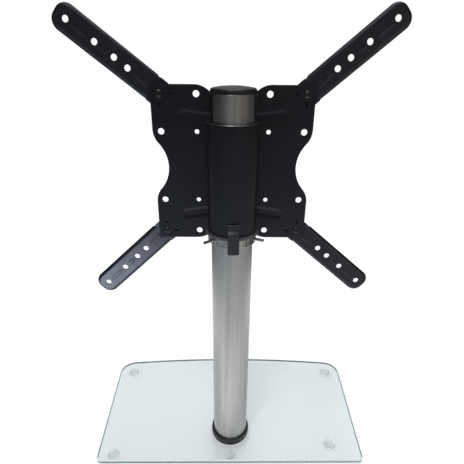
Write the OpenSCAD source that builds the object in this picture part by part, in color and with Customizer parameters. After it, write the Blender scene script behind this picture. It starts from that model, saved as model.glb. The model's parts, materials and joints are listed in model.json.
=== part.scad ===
// Tabletop TV stand: a glass base, a steel pole, and a swivelling plate with four swinging arms.
// The origin is the middle of the glass's footprint on the table. +Y is the TV side, +Z is up.

/* [Glass base] */
// Width of the glass across its front corners
base_front_w = 488; // [440:1:600]
// Width of the glass along its rear edge
base_rear_w = 470; // [430:1:600]
// Depth of the glass, from the rear edge to the crest of the bowed front edge
base_d = 250; // [230:1:320]
// How far the front edge bows out past its corners
bow_rise = 14; // [6:1:30]
// Thickness of the glass
glass_t = 8; // [6:0.5:12]
// Radius of the two front corners
front_corner_r = 30; // [14:1:40]
// Radius of the two rear corners
rear_corner_r = 9; // [4:1:20]
// Width of the ground bevel round both faces
glass_bevel = 1.2; // [0.5:0.1:2]
// Hole through the glass
glass_hole_d = 22; // [18:1:26]

/* [Feet] */
// Diameter of a bumper foot
foot_d = 20; // [14:1:24]
// Height of a bumper foot
foot_h = 5; // [5:0.5:8]
// How much narrower a foot is where it meets the table
foot_taper = 3; // [1:0.5:5]
// Distance of a foot's centre from the side edge
foot_side_inset = 28; // [22:1:45]
// Distance of the front feet from the front edge
foot_front_inset = 38; // [26:1:60]
// Distance of the rear left foot and of the middle foot from the rear edge
foot_rear_inset = 15; // [13:1:17]
// Distance of the rear right foot from the side edge
odd_foot_side_inset = 54; // [22:1:70]
// Distance of the rear right foot from the rear edge
odd_foot_rear_inset = 34; // [13:1:50]

/* [Pole] */
// Outer diameter of the pole
pole_d = 60; // [56:1:64]
// Wall of the pole
pole_wall = 2; // [1.5:0.5:3]
// Length of the pole tube
pole_len = 600; // [560:5:900]
// Distance of the pole's axis from the rear edge of the glass
pole_setback = 62; // [58:1:80]
// Thickness of the clear disc under the pole
gasket_t = 1; // [0.5:0.5:2]
// How far the clear disc stands out past the trim ring
gasket_proud = 2; // [0.5:0.1:3]
// Radial thickness of the trim ring
ring_wall = 3.8; // [2.5:0.1:6]
// Height of the trim ring
ring_h = 12; // [8:1:20]
// Radius of the trim ring's upper edge
ring_round = 3; // [1:0.5:3]
// Depth of the groove near the bottom of the trim ring
ring_groove = 0.8; // [0.4:0.1:1.5]
// Height of the cap above the pole, up to the top of its rounded edge
cap_h = 6.5; // [5:0.1:9]
// Radius of the cap's upper edge
cap_round = 4; // [2:0.5:4.5]
// Rise of the cap's crowned top
cap_crown = 2.5; // [0.5:0.1:4]
// Length of the cap's skirt inside the pole
cap_skirt = 18; // [10:1:30]
// Wall of the cap's skirt
cap_wall = 2; // [1.5:0.5:3]

/* [Fixing under the glass] */
// Height of the threaded plug in the foot of the pole
plug_h = 12; // [8:1:20]
// Diameter of the base bolt
bolt_d = 8; // [7:0.5:10]
// Diameter of the base bolt's countersunk head
bolt_head_d = 15; // [12:0.5:16]
// Diameter of the clamp plate
clamp_d = 56; // [44:1:60]
// Thickness of the clamp plate
clamp_t = 3; // [3:0.1:3.4]
// Thickness of the rubber between the clamp plate and the glass
clamp_pad_t = 1; // [0.5:0.1:1.5]

/* [Sleeve and collar] */
// Outer diameter of the sleeve
sleeve_d = 69; // [68:0.5:74]
// Wall of the sleeve
sleeve_wall = 2.5; // [2:0.5:3]
// Length of the sleeve
sleeve_len = 150; // [130:1:170]
// How far the middle of the sleeve lies below the middle of the plate
sleeve_drop = 6; // [0:1:12]
// Length of each bush inside the sleeve
bush_len = 25; // [15:1:40]
// Outer diameter of the bearing ring
bearing_d = 76.6; // [74:0.2:78]
// Thickness of the bearing ring
bearing_t = 4.2; // [3:0.2:6]
// Radius of the bearing ring's outer edges
bearing_round = 1.2; // [0.5:0.1:1.4]
// Outer diameter of the lock collar
collar_d = 70; // [68:0.5:74]
// Height of the lock collar
collar_h = 12.6; // [10:0.2:20]
// Bevel on the lock collar's edges
collar_bevel = 0.8; // [0.4:0.1:1.5]
// Diameter of a collar screw
collar_screw_d = 4.6; // [4:0.2:6]
// Length of the two collar screws that stand out as swivel stops
collar_screw_len = 18.4; // [16:0.2:24]
// Length of the collar screw that faces the plate, sunk in the collar
grub_screw_len = 4.4; // [3.6:0.2:4.6]
// How far the collar is turned on the pole, from the rear towards +X
collar_turn = 6; // [0:1:12]
// Width of the slots round the lock collar
collar_slot_w = 1.6; // [1:0.1:2.5]
// Depth of the slots round the lock collar
collar_slot_depth = 1.2; // [0.6:0.1:2]

/* [Stop strip] */
// Width of the stop strip
strip_w = 16; // [10:1:20]
// Thickness of the stop strip
strip_t = 3; // [2:0.5:4]
// Length of the strip that is welded to the sleeve
strip_lap = 8; // [6:1:20]
// Length of the slope that carries the strip outwards
strip_slope = 5; // [3:0.5:8]
// Height of the slope's lower end above the foot of the sleeve
strip_step = 7; // [3:0.5:12]
// Clearance between the strip and the bearing ring
strip_gap = 0.9; // [0.5:0.1:2]
// Radius of the strip's lower corners
strip_round = 2; // [1:0.5:5]
// How far the strip reaches below the lock collar
strip_below = 6; // [3:0.5:15]
// How far the strip is turned on the sleeve, from the rear towards +X
strip_turn = 2; // [0:1:4]

/* [Mounting plate] */
// Height of the plate's middle above the glass
mount_height = 497; // [430:1:500]
// Width and height of the plate
plate_w = 224; // [222:1:240]
// Thickness of the plate
plate_t = 2.5; // [2:0.5:4]
// Radius of the plate's corners
plate_corner_r = 6; // [3:0.5:9]
// Radius of the scoop in each side
scoop_r = 50.5; // [46:0.5:56]
// Depth of the scoop in each side
scoop_depth = 20; // [14:1:22]
// Radius that blends the scoop into the side
scoop_blend_r = 30; // [20:1:34]
// Small pitch of the hole patterns
pitch_small = 100; // [75:25:100]
// Large pitch of the hole patterns, and of the arms' pivots
pitch_large = 200; // [190:10:200]
// Diameter of the holes in the square pattern
small_hole_d = 6.5; // [5:0.1:7]
// Diameter of the holes in the two oblong patterns
large_hole_d = 9; // [7:0.5:10]
// Depth of the two pressed ribs
rib_depth = 1.4; // [0.8:0.1:1.6]
// Width of a pressed rib
rib_w = 14; // [10:1:16]
// Distance from the plate's middle to the middle of a rib, at the sleeve
rib_offset = 66.5; // [64:0.5:68]
// How far a rib bows away over its length
rib_rise = 7.5; // [5:0.5:9]
// Length of a pressed rib
rib_len = 150; // [110:1:154]

/* [Arms] */
// Width of an arm
arm_w = 36; // [32:1:38]
// Thickness of an arm's sheet
arm_t = 2.5; // [2:0.5:3]
// Depth of an arm's rim, which is turned towards the TV
rim_h = 6; // [6:0.5:9]
// Inner radius of the rim's bend
rim_bend_r = 3; // [1:0.5:3.5]
// Distance from the pivot to where the rim starts
rim_start = 8; // [4:1:14]
// Length of the slope at the start of the rim
rim_ramp = 8; // [4:1:12]
// Diameter of an arm's holes
arm_hole_d = 8.5; // [7:0.5:9]
// How far the arm's end lies past the last hole
arm_nose_len = 17; // [14:0.5:22]
// Radius of the end's corners
arm_nose_r = 15; // [8:1:17]
// Height of the pressed beads
bead_h = 1.2; // [0.6:0.1:1.4]
// Width of the two long beads
bead_w = 8; // [5:0.5:9]
// Width of the bead by the pivot, at its wide end
root_bead_w = 13; // [8:0.5:14]
// Width of the bead by the pivot, at its narrow end
root_bead_tip_w = 4; // [3:0.5:6]
// Angle of the upper left arm from the horizontal
upper_left_angle = 38; // [0:0.5:90]
// Angle of the upper right arm from the horizontal
upper_right_angle = 40.5; // [0:0.5:90]
// Angle of the lower left arm from the horizontal
lower_left_angle = 43; // [0:0.5:90]
// Angle of the lower right arm from the horizontal
lower_right_angle = 40.5; // [0:0.5:90]

/* [Pivots] */
// Diameter of a pivot screw
pivot_d = 6; // [5:0.5:7]
// Diameter of a pivot screw's head
pivot_head_d = 10.5; // [9:0.5:12]
// Height of a pivot screw's head
pivot_head_h = 2.8; // [2:0.1:4]
// Diameter of the washers at a pivot
washer_d = 14; // [12:0.5:18]
// Thickness of the friction washer between plate and arm
spacer_t = 0.5; // [0.4:0.1:1.5]
// Thickness of the washer under a pivot nut
washer_t = 1; // [0.6:0.1:2]
// Height of a pivot nut
nut_h = 3.2; // [2.5:0.1:5]
// Width across the flats of a pivot nut
nut_flats = 10; // [8:0.5:12]
// Distance of the index slots from the pivot
index_r = 14.5; // [13.5:0.5:15]
// Length of an index slot
index_len = 6.5; // [6:0.5:8]
// Width of an index slot
index_w = 3.5; // [2.5:0.5:4]

/* [Hidden] */
$fn = 96;

// Radial clearance of a running fit
fit_gap = 0.05;
// Clearance between flat faces that slide on each other
slide_gap = 0.1;
// Clearance between the bolt or its bush and the hole round it
bolt_gap = 0.1;
// Overrun of a cut past the face that it leaves
over = 1;
// Number of chords in a small rounding, and in a long arc
round_steps = 8;
long_steps = 32;
// Gap between the sleeve and the plate, which the welds bridge
weld_gap = 0.8;
// Clearance between the plate and the flat on the bearing ring
plate_gap = 0.3;
// Where a weld starts and ends, sideways from the line of contact
weld_in = 5;
weld_out = 11;
// Length of one stitch of weld, and its distance from the sleeve's end
weld_len = 32;
weld_margin = 8;
// Number of slots round the lock collar, and where the first one is, from the rear
collar_slots = 5;
first_slot_turn = -38;
// Height of the groove in the trim ring, and its width
groove_z = 2.4;
groove_w = 1;
// Hexagon sockets: width across the flats, and depth
collar_socket = 2.5;
collar_socket_depth = 3;
pivot_socket = 4;
pivot_socket_depth = 1.8;
base_socket = 5;
base_socket_depth = 2.2;
// How far the pivot screw's thread stands out past its nut
thread_proud = 0.8;
// Height of the pip on the diagonal at each pivot, and its diameter at its foot
pip_h = 0.8;
pip_d = 4.2;
// Distance from the pivot to the wide end of the bead beside it
root_bead_start = 15.5;
// Distance from an arm's hole to the end of a bead
bead_clear = 3.2;
// Distance that a bead keeps from the first hole
root_bead_clear = 3.5;
// Edge round of the plug and of the bolt's tip
small_bevel = 0.8;

// Places worked out from the sizes above
pole_r = pole_d / 2;
pole_y = pole_setback - base_d / 2;
glass_top = foot_h + glass_t;
pole_z = glass_top + gasket_t;
pole_top = pole_z + pole_len;
plug_r = pole_r - pole_wall;
ring_r = pole_r + fit_gap + ring_wall;
sleeve_r = sleeve_d / 2;
sleeve_bore = sleeve_r - sleeve_wall;
plate_z = glass_top + mount_height;
plate_y = pole_y + sleeve_r + weld_gap;
sleeve_z = plate_z - sleeve_drop - sleeve_len / 2;
bearing_z = sleeve_z - bearing_t;
collar_z = bearing_z - slide_gap - collar_h;
arm_y = plate_y + plate_t + spacer_t + slide_gap;
pivot_places = [[-1, 1], [1, 1], [-1, -1], [1, -1]] * (pitch_large / 2);
arm_holes = [
    pitch_small / 2, pitch_small / 2 * sqrt(2),
    pitch_large / 2, pitch_large / 2 * sqrt(2)
];
arm_tip = arm_holes[3] + arm_nose_len;
nose_corner = [arm_tip - arm_nose_r, arm_w / 2 - arm_nose_r];
bow_r = (pow(base_front_w / 2, 2) + pow(bow_rise, 2)) / (2 * bow_rise);

// Points along an arc, angles in degrees
function arc(centre, r, from, to, steps) = [
    for (i = [0 : steps])
        centre + r * [cos(from + (to - from) * i / steps), sin(from + (to - from) * i / steps)]
];
function turned(points, a) = [for (p = points) [p.x * cos(a) - p.y * sin(a), p.x * sin(a) + p.y * cos(a)]];
function but_last(points) = [for (i = [0 : len(points) - 2]) points[i]];
function mirrored(points) = [for (i = [len(points) - 1 : -1 : 0]) [-points[i].x, points[i].y]];

// Stands children upright at y, so that what lies below zero reaches from there towards +Y
module upright(y, z) {
    translate([0, y, z]) rotate([90, 0, 0]) children();
}

module hexagon(flats, h) {
    cylinder(d = flats / cos(180 / 6), h = h, $fn = 6);
}

// Copies at every pivot, drawn upright from the plate's rear face
module at_pivots() {
    upright(plate_y, plate_z)
        for (p = pivot_places) translate([p.x, p.y, 0]) children();
}

// Outline of the glass drawn in by a distance: rear corner, front corner, then the bow, and back
function glass_rear_centre() = [base_rear_w / 2 - rear_corner_r, rear_corner_r - base_d / 2];
function bow_centre() = [0, base_d / 2 - bow_r];
function glass_front_centre() =
    let (x = base_front_w / 2 - front_corner_r)
    [x, bow_centre().y + sqrt(pow(bow_r - front_corner_r, 2) - x * x)];
function glass_half(in) =
    let (
        rear = glass_rear_centre(),
        front = glass_front_centre(),
        step = front - rear,
        side = atan2(step.y, step.x) - acos((rear_corner_r - front_corner_r) / norm(step)),
        bow = atan2(front.y - bow_centre().y, front.x)
    )
    concat(
        arc(rear, rear_corner_r - in, -90, side, round_steps),
        but_last(arc(front, front_corner_r - in, side, bow, round_steps)),
        but_last(arc(bow_centre(), bow_r - in, bow, 90, long_steps / 2))
    );
function glass_outline(in) =
    concat(glass_half(in), [[0, base_d / 2 - in]], mirrored(glass_half(in)));

function half_width(y) =
    base_rear_w / 2 + (base_front_w - base_rear_w) / 2 * (y + base_d / 2) / (base_d - bow_rise);
function foot_place(side, side_inset, y) = [side * (half_width(y) - side_inset), y];
foot_front_y = base_d / 2 - foot_front_inset;
foot_rear_y = foot_rear_inset - base_d / 2;
odd_foot_y = odd_foot_rear_inset - base_d / 2;
foot_places = [
    foot_place(-1, foot_side_inset, foot_front_y),
    foot_place(1, foot_side_inset, foot_front_y),
    foot_place(-1, foot_side_inset, foot_rear_y),
    foot_place(1, odd_foot_side_inset, odd_foot_y),
    [0, foot_rear_y]
];

module base_glass() {
    color([0.80, 0.92, 0.90, 0.5])
        difference() {
            translate([0, 0, foot_h])
                hull() {
                    translate([0, 0, glass_bevel])
                        linear_extrude(glass_t - 2 * glass_bevel) polygon(glass_outline(0));
                    linear_extrude(glass_t) polygon(glass_outline(glass_bevel));
                }
            translate([0, pole_y, foot_h - over]) cylinder(d = glass_hole_d, h = glass_t + 2 * over);
        }
}

module bumper_feet() {
    color([0.88, 0.92, 0.92, 0.7])
        for (p = foot_places)
            translate([p.x, p.y, 0]) cylinder(d1 = foot_d - foot_taper, d2 = foot_d, h = foot_h);
}

module glass_bush() {
    color("ivory")
        translate([0, pole_y, foot_h])
            difference() {
                cylinder(d = glass_hole_d - 2 * bolt_gap, h = glass_t);
                translate([0, 0, -over]) cylinder(d = bolt_d + 2 * bolt_gap, h = glass_t + 2 * over);
            }
}

module clamp_gasket() {
    color("dimgray")
        translate([0, pole_y, foot_h - clamp_pad_t])
            difference() {
                cylinder(d = clamp_d, h = clamp_pad_t);
                translate([0, 0, -over]) cylinder(d = bolt_head_d, h = clamp_pad_t + 2 * over);
            }
}

clamp_z = foot_h - clamp_pad_t - clamp_t;
// The countersunk head is a cone at 45 degrees, from its rim on the clamp plate's lower face
bolt_cone_h = (bolt_head_d - bolt_d) / 2;

module bolt_head_cone(gap) {
    cylinder(d1 = bolt_head_d + 2 * gap, d2 = bolt_d + 2 * gap, h = bolt_cone_h);
}

module clamp_plate() {
    color("silver")
        translate([0, pole_y, clamp_z])
            difference() {
                cylinder(d = clamp_d, h = clamp_t);
                bolt_head_cone(bolt_gap);
                translate([0, 0, -over]) cylinder(d = bolt_d + 2 * bolt_gap, h = clamp_t + 2 * over);
            }
}

module base_bolt() {
    color("silver")
        translate([0, pole_y, clamp_z])
            difference() {
                union() {
                    bolt_head_cone(0);
                    cylinder(d = bolt_d, h = pole_z + plug_h - small_bevel - clamp_z);
                }
                translate([0, 0, -over]) hexagon(base_socket, base_socket_depth + over);
            }
}

module pole_gasket() {
    color([0.85, 0.88, 0.86, 0.8])
        translate([0, pole_y, glass_top])
            difference() {
                cylinder(r = ring_r + gasket_proud, h = gasket_t);
                translate([0, 0, -over]) cylinder(d = bolt_d + 2 * bolt_gap, h = gasket_t + 2 * over);
            }
}

module pole_plug() {
    color("gray")
        translate([0, pole_y, pole_z])
            difference() {
                cylinder(r = plug_r, h = plug_h);
                translate([0, 0, -over]) cylinder(d = bolt_d + 2 * bolt_gap, h = plug_h + 2 * over);
            }
}

module pole_tube() {
    color("silver")
        translate([0, pole_y, pole_z])
            difference() {
                cylinder(r = pole_r, h = pole_len);
                translate([0, 0, -over]) cylinder(r = plug_r, h = pole_len + 2 * over);
            }
}

module pole_trim_ring() {
    bore = pole_r + fit_gap;
    color([0.10, 0.10, 0.11])
        translate([0, pole_y, pole_z])
            rotate_extrude()
                polygon(concat(
                    [
                        [bore, 0],
                        [ring_r, 0],
                        [ring_r, groove_z],
                        [ring_r - ring_groove, groove_z],
                        [ring_r - ring_groove, groove_z + groove_w],
                        [ring_r, groove_z + groove_w]
                    ],
                    arc([ring_r - ring_round, ring_h - ring_round], ring_round, 0, 90, round_steps),
                    [[bore, ring_h]]
                ));
}

module pole_cap() {
    flat_r = pole_r - cap_round;
    swing_r = (pow(flat_r, 2) + pow(cap_crown, 2)) / (2 * cap_crown);
    lean = asin(flat_r / swing_r);
    skirt_r = plug_r - fit_gap;
    color([0.11, 0.11, 0.12])
        translate([0, pole_y, pole_top])
            rotate_extrude()
                polygon(concat(
                    [
                        [0, 0],
                        [skirt_r - cap_wall, 0],
                        [skirt_r - cap_wall, -cap_skirt],
                        [skirt_r, -cap_skirt],
                        [skirt_r, 0],
                        [pole_r, 0]
                    ],
                    but_last(arc([flat_r, cap_h - cap_round], cap_round, 0, 90 - lean, round_steps)),
                    arc([0, cap_h + cap_crown - swing_r - cap_round],
                        swing_r + cap_round, 90 - lean, 90, round_steps)
                ));
}

// Two screws stand out on either side of the stop strip, and the third is sunk
module at_collar_screw(turn) {
    translate([0, pole_y, collar_z + collar_h / 2]) rotate([0, 90, turn + collar_turn - 90]) children();
}

module collar_screw(length) {
    translate([0, 0, pole_r + slide_gap])
        difference() {
            cylinder(d = collar_screw_d, h = length);
            translate([0, 0, length - collar_socket_depth])
                hexagon(collar_socket, collar_socket_depth + over);
        }
}

module lock_collar() {
    r = collar_d / 2;
    bore = pole_r + fit_gap;
    color([0.83, 0.83, 0.82])
        difference() {
            translate([0, pole_y, collar_z])
                rotate_extrude()
                    polygon([
                        [bore, 0],
                        [r - collar_bevel, 0],
                        [r, collar_bevel],
                        [r, collar_h - collar_bevel],
                        [r - collar_bevel, collar_h],
                        [bore, collar_h]
                    ]);
            for (turn = [-60, 60, 180])
                at_collar_screw(turn) cylinder(d = collar_screw_d + 2 * fit_gap, h = r + over);
            for (i = [0 : collar_slots - 1])
                translate([0, pole_y, collar_z - over])
                    rotate([0, 0, first_slot_turn + i * 360 / collar_slots])
                        translate([-collar_slot_w / 2, -r - over, 0])
                            cube([collar_slot_w, collar_slot_depth + over, collar_h + 2 * over]);
        }
}

module collar_screws() {
    color("silver") {
        at_collar_screw(-60) collar_screw(collar_screw_len);
        at_collar_screw(60) collar_screw(collar_screw_len);
        at_collar_screw(180) collar_screw(grub_screw_len);
    }
}

// The flange turns on the collar and has a flat for the plate; the spigot lines the foot of the sleeve
module bearing_ring() {
    r = bearing_d / 2;
    bore = pole_r + fit_gap;
    color([0.12, 0.12, 0.13])
        translate([0, pole_y, bearing_z])
            difference() {
                rotate_extrude()
                    polygon(concat(
                        [[bore, 0]],
                        arc([r - bearing_round, bearing_round], bearing_round, -90, 0, round_steps),
                        arc([r - bearing_round, bearing_t - bearing_round], bearing_round, 0, 90, round_steps),
                        [
                            [sleeve_bore, bearing_t],
                            [sleeve_bore, bearing_t + bush_len],
                            [bore, bearing_t + bush_len]
                        ]
                    ));
                translate([-r, plate_y - plate_gap - pole_y, -over]) cube([2 * r, r, bearing_t + 2 * over]);
            }
}

module upper_bush() {
    color([0.14, 0.14, 0.15])
        translate([0, pole_y, sleeve_z + sleeve_len - bush_len])
            difference() {
                cylinder(r = sleeve_bore, h = bush_len);
                translate([0, 0, -over]) cylinder(r = pole_r + fit_gap, h = bush_len + 2 * over);
            }
}

module sleeve_tube() {
    color([0.10, 0.10, 0.11])
        translate([0, pole_y, sleeve_z])
            difference() {
                cylinder(r = sleeve_r, h = sleeve_len);
                translate([0, 0, -over]) cylinder(r = sleeve_bore, h = sleeve_len + 2 * over);
            }
}

// Stitches that fill the wedge between the sleeve and the plate, two on each side
module sleeve_welds() {
    reach = sleeve_r - sqrt(pow(sleeve_r, 2) - pow(weld_out, 2)) + weld_gap;
    color([0.10, 0.10, 0.11])
        for (side = [-1, 1], z = [sleeve_z + weld_margin, sleeve_z + sleeve_len - weld_margin - weld_len])
            translate([0, pole_y, z])
                difference() {
                    linear_extrude(weld_len)
                        polygon([
                            [side * weld_in, sleeve_r + weld_gap],
                            [side * (weld_out + reach / 2), sleeve_r + weld_gap],
                            [side * weld_out, sleeve_r + weld_gap - reach],
                            [side * weld_in, sleeve_r - reach]
                        ]);
                    translate([0, 0, -over]) cylinder(r = sleeve_r, h = weld_len + 2 * over);
                }
}

// The strip laps the sleeve, steps out past the bearing ring, and hangs between the collar screws
module stop_strip() {
    out_r = bearing_d / 2 + strip_gap;
    step_z = sleeve_z + strip_step;
    top_z = step_z + strip_slope + strip_lap;
    low_z = collar_z - strip_below;
    color([0.13, 0.13, 0.14])
        translate([0, pole_y, 0]) rotate([0, 0, strip_turn])
            intersection() {
                rotate_extrude()
                    polygon([
                        [sleeve_r, top_z],
                        [sleeve_r + strip_t, top_z],
                        [sleeve_r + strip_t, step_z + strip_slope],
                        [out_r + strip_t, step_z],
                        [out_r + strip_t, low_z],
                        [out_r, low_z],
                        [out_r, step_z],
                        [sleeve_r, step_z + strip_slope]
                    ]);
                rotate([90, 0, 0])
                    linear_extrude(bearing_d)
                        polygon(concat(
                            arc([strip_round - strip_w / 2, low_z + strip_round],
                                strip_round, 180, 270, round_steps),
                            arc([strip_w / 2 - strip_round, low_z + strip_round],
                                strip_round, 270, 360, round_steps),
                            [[strip_w / 2, top_z], [-strip_w / 2, top_z]]
                        ));
            }
}

// One side of the plate's outline, from its corner up to the next: blend, scoop, blend
function plate_side() =
    let (
        half = plate_w / 2,
        scoop_x = half - scoop_depth + scoop_r,
        blend_x = half - scoop_blend_r,
        blend_y = sqrt(pow(scoop_r + scoop_blend_r, 2) - pow(scoop_x - blend_x, 2)),
        a = atan2(blend_y, scoop_x - blend_x),
        corner = half - plate_corner_r
    )
    concat(
        arc([corner, -corner], plate_corner_r, -90, 0, round_steps),
        but_last(arc([blend_x, -blend_y], scoop_blend_r, 0, a, round_steps)),
        but_last(arc([scoop_x, 0], scoop_r, 180 + a, 180 - a, long_steps)),
        arc([blend_x, blend_y], scoop_blend_r, -a, 0, round_steps)
    );
function plate_outline() = [for (a = [0 : 90 : 270]) each turned(plate_side(), a)];

// A rib is a band along an arc, round at both ends
function rib_outline() =
    let (
        r = (pow(rib_len / 2, 2) + pow(rib_rise, 2)) / (2 * rib_rise),
        centre = [0, rib_offset + r],
        half_a = asin((rib_len - rib_w) / 2 / r),
        end = centre + r * [sin(half_a), -cos(half_a)]
    )
    concat(
        but_last(arc(centre, r - rib_w / 2, -90 + half_a, -90 - half_a, long_steps)),
        but_last(arc([-end.x, end.y], rib_w / 2, 90 - half_a, 270 - half_a, round_steps)),
        but_last(arc(centre, r + rib_w / 2, -90 - half_a, -90 + half_a, long_steps)),
        but_last(arc(end, rib_w / 2, half_a - 90, half_a + 90, round_steps))
    );

module slot(length, width, depth) {
    run = (length - width) / 2;
    translate([-run, 0, 0]) cylinder(d = width, h = depth);
    translate([run, 0, 0]) cylinder(d = width, h = depth);
    translate([-run, -width / 2, 0]) cube([2 * run, width, depth]);
}

// Index slots inwards and towards the plate's middle height, and a pip on the diagonal between them
module index_slots(side, depth) {
    translate([-side.x * index_r, 0, 0]) slot(index_len, index_w, depth);
    translate([0, -side.y * index_r, 0]) rotate([0, 0, 90]) slot(index_len, index_w, depth);
}

module index_pip(side) {
    translate([-side.x, -side.y, 0] * index_r * cos(45))
        cylinder(d1 = pip_d, d2 = pip_d - 2 * pip_h, h = pip_h);
}

module rectangle_of_holes(w, h, d, depth) {
    for (x = [-w / 2, w / 2], y = [-h / 2, h / 2]) translate([x, y, 0]) cylinder(d = d, h = depth);
}

module vesa_plate() {
    through = plate_t + rib_depth + 2 * over;
    color([0.10, 0.10, 0.11])
        upright(plate_y, plate_z)
            difference() {
                union() {
                    translate([0, 0, -plate_t]) linear_extrude(plate_t) polygon(plate_outline());
                    for (a = [0, 180])
                        translate([0, 0, -plate_t - rib_depth]) rotate([0, 0, a])
                            linear_extrude(plate_t) polygon(rib_outline());
                    for (p = pivot_places) translate([p.x, p.y, 0]) index_pip([sign(p.x), sign(p.y)]);
                }
                for (a = [0, 180])
                    translate([0, 0, -rib_depth]) rotate([0, 0, a])
                        linear_extrude(rib_depth + over) polygon(rib_outline());
                translate([0, 0, -through + over]) {
                    rectangle_of_holes(pitch_small, pitch_small, small_hole_d, through);
                    rectangle_of_holes(pitch_large, pitch_small, large_hole_d, through);
                    rectangle_of_holes(pitch_small, pitch_large, large_hole_d, through);
                    rectangle_of_holes(pitch_large, pitch_large, pivot_d + 2 * fit_gap, through);
                    for (p = pivot_places)
                        translate([p.x, p.y, 0]) index_slots([sign(p.x), sign(p.y)], through);
                }
            }
}

arm_back = plate_t + spacer_t + slide_gap + arm_t;
washer_back = arm_back + slide_gap + washer_t;

module pivot_screws() {
    dome_r = (pow(pivot_head_d / 2, 2) + pow(pivot_head_h, 2)) / (2 * pivot_head_h);
    reach = washer_back + nut_h + thread_proud;
    color([0.16, 0.16, 0.17])
        at_pivots()
            difference() {
                union() {
                    rotate_extrude()
                        polygon(concat(
                            [[0, 0], [pivot_head_d / 2, 0]],
                            arc([0, pivot_head_h - dome_r], dome_r,
                                asin((dome_r - pivot_head_h) / dome_r), 90, round_steps)
                        ));
                    translate([0, 0, -reach]) cylinder(d = pivot_d, h = reach);
                }
                translate([0, 0, pivot_head_h - pivot_socket_depth])
                    hexagon(pivot_socket, pivot_socket_depth + over);
            }
}

module pivot_ring(back, thick, d) {
    at_pivots()
        translate([0, 0, -back])
            difference() {
                cylinder(d = d, h = thick);
                translate([0, 0, -over]) cylinder(d = pivot_d + 2 * fit_gap, h = thick + 2 * over);
            }
}

module friction_washers() {
    color("dimgray") pivot_ring(plate_t + spacer_t, spacer_t, washer_d);
}

module pivot_washers() {
    color("silver") pivot_ring(washer_back, washer_t, washer_d);
}

module pivot_nuts() {
    color("silver")
        at_pivots()
            translate([0, 0, -washer_back - nut_h])
                difference() {
                    hexagon(nut_flats, nut_h);
                    translate([0, 0, -over]) cylinder(d = pivot_d + 2 * fit_gap, h = nut_h + 2 * over);
                }
}

// Section of a rim of the pressed arm, at a distance r from where its round or its side starts
function rim(r) =
    let (
        out_r = arm_t + rim_bend_r,
        bend = [r - out_r, -out_r]
    )
    concat(
        arc(bend, out_r, 90, 0, round_steps),
        [[r, -rim_h], [r - arm_t, -rim_h]],
        arc(bend, rim_bend_r, 0, 90, round_steps)
    );
function nose_section() = concat([[0, -arm_t], [0, 0]], rim(arm_nose_r));

module arm_bead(from, to, width, height) {
    translate([(from + to) / 2, 0, 0]) slot(to - from, width, height);
}

function root_bead_outline() =
    let (
        tip = root_bead_tip_w / 2,
        stop = arm_holes[0] - arm_hole_d / 2 - root_bead_clear - root_bead_tip_w / 2
    )
    concat(
        [[root_bead_start, root_bead_w / 2], [root_bead_start, -root_bead_w / 2]],
        arc([stop, 0], tip, -90, 90, round_steps)
    );

// The three pressed beads, at a height above the web's rear face
module arm_beads(z, height) {
    edge = arm_hole_d / 2 + bead_clear;
    translate([0, 0, z]) {
        linear_extrude(height) polygon(root_bead_outline());
        arm_bead(arm_holes[1] + edge, arm_holes[2] - edge + bead_clear / 2, bead_w, height);
        arm_bead(arm_holes[2] + edge, arm_holes[3] - edge, bead_w, height);
    }
}

// The end of an arm: the rim runs on round both corners and across
module arm_nose() {
    translate([nose_corner.x, nose_corner.y, 0])
        rotate([90, 0, 0]) linear_extrude(2 * nose_corner.y) polygon(nose_section());
    for (side = [-1, 1])
        translate([nose_corner.x, side * nose_corner.y, 0])
            intersection() {
                rotate_extrude() polygon(nose_section());
                translate([0, side > 0 ? 0 : -arm_w, -rim_h - over]) cube([arm_w, arm_w, rim_h + 2 * over]);
            }
}

// An arm lies along +X from its pivot, its web's rear face at zero and its TV side below
module arm_shape() {
    run = nose_corner.x - rim_start;
    side_view = [
        [0, 0],
        [run, 0],
        [run, -rim_h],
        [rim_ramp, -rim_h],
        [0, -arm_t]
    ];
    difference() {
        union() {
            translate([0, 0, -arm_t]) {
                cylinder(d = arm_w, h = arm_t);
                translate([0, -arm_w / 2, 0]) cube([rim_start, arm_w, arm_t]);
            }
            translate([rim_start, 0, 0])
                intersection() {
                    rotate([90, 0, 90]) linear_extrude(run)
                        polygon(concat(rim(arm_w / 2), mirrored(rim(arm_w / 2))));
                    translate([0, arm_w, 0]) rotate([90, 0, 0]) linear_extrude(2 * arm_w) polygon(side_view);
                }
            arm_nose();
            arm_beads(0, bead_h);
        }
        arm_beads(-arm_t - over, bead_h + over);
        translate([0, 0, -arm_t - over]) {
            cylinder(d = pivot_d + 2 * fit_gap, h = arm_t + 2 * over);
            for (s = arm_holes) translate([s, 0, 0]) cylinder(d = arm_hole_d, h = arm_t + 2 * over);
        }
    }
}

module arm(place, angle) {
    color([0.12, 0.12, 0.13])
        translate([place.x, arm_y, plate_z + place.y])
            rotate([0, -angle, 0]) rotate([90, 0, 0]) arm_shape();
}

module arm_upper_left() {
    arm(pivot_places[0], 180 - upper_left_angle);
}

module arm_upper_right() {
    arm(pivot_places[1], upper_right_angle);
}

module arm_lower_left() {
    arm(pivot_places[2], 180 + lower_left_angle);
}

module arm_lower_right() {
    arm(pivot_places[3], -lower_right_angle);
}

base_glass();
bumper_feet();
glass_bush();
clamp_gasket();
clamp_plate();
base_bolt();
pole_gasket();
pole_plug();
pole_tube();
pole_trim_ring();
pole_cap();
lock_collar();
collar_screws();
bearing_ring();
upper_bush();
sleeve_tube();
sleeve_welds();
stop_strip();
vesa_plate();
pivot_screws();
friction_washers();
pivot_washers();
pivot_nuts();
arm_upper_left();
arm_upper_right();
arm_lower_left();
arm_lower_right();
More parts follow.
